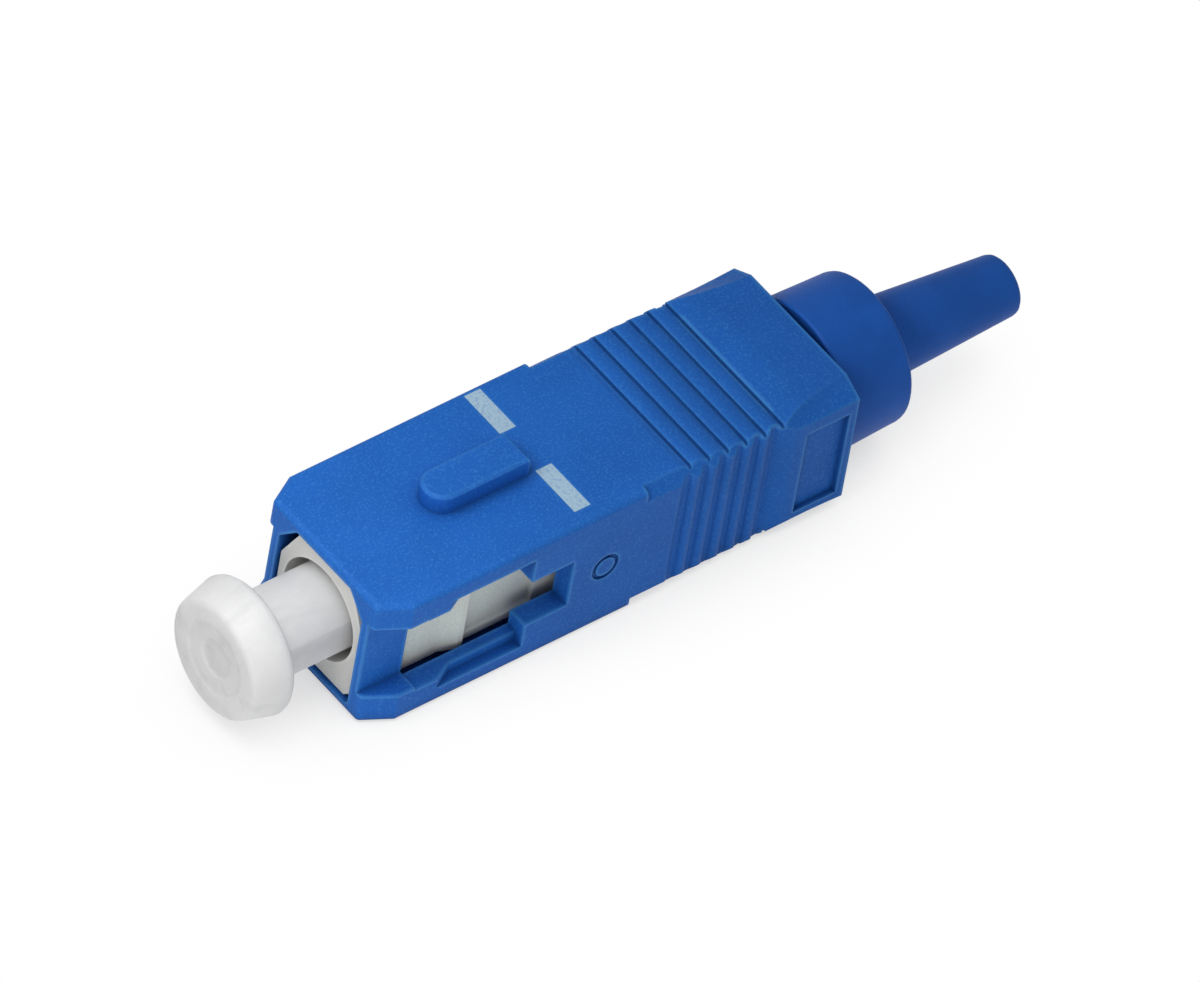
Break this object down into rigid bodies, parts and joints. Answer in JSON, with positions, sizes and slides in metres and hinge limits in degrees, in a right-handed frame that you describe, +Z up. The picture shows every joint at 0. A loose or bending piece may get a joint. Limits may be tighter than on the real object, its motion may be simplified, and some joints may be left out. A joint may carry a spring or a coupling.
{
  "type": "sc fibre connector",
  "caption": "Push-pull square-bodied optical fibre plug with a sliding keyed grip sleeve, sprung ceramic ferrule, round rubber boot and a translucent dust cap.",
  "frame": {"origin": "centre of the outer housing's front face, on the optical axis", "axes": "+X along the optical axis towards the boot, +Z up through the polarity key, +Y across the key"},
  "size_m": [0.0437, 0.009, 0.0084],
  "materials": {
    "housing_blue": "fine spark-eroded texture",
    "mark_white": "matt paint",
    "frame_white": "satin",
    "zirconia": "polished",
    "nickel": "plated",
    "tube_white": "waxy",
    "spring_steel": "drawn wire",
    "boot_blue": "satin",
    "cap_clear": "translucent"
  },
  "bodies": {
    "core": {"plug_frame": "frame_white", "stop_body": "nickel", "boot": "boot_blue", "ferrule_spring": "spring_steel"},
    "grip_sleeve": {"outer_housing": "housing_blue", "witness_marks": "mark_white"},
    "ferrule_assembly": {"ferrule": "zirconia", "ferrule_flange": "nickel", "guide_tube": "tube_white"},
    "cap": {"dust_cap": "cap_clear"}
  },
  "joints": [
    {"name": "sleeve_slide", "type": "slide", "parent": "core", "child": "grip_sleeve", "axis": [1, 0, 0], "range_m": [-0.0015, 0.0003]},
    {"name": "ferrule_float", "type": "slide", "parent": "core", "child": "ferrule_assembly", "axis": [1, 0, 0], "range_m": [0, 0.0012], "stiffness_N_per_m": 2000, "deforming": ["ferrule_spring"]},
    {"name": "cap_pull", "type": "slide", "parent": "ferrule_assembly", "child": "cap", "axis": [-1, 0, 0], "range_m": [0, 0.014]}
  ]
}
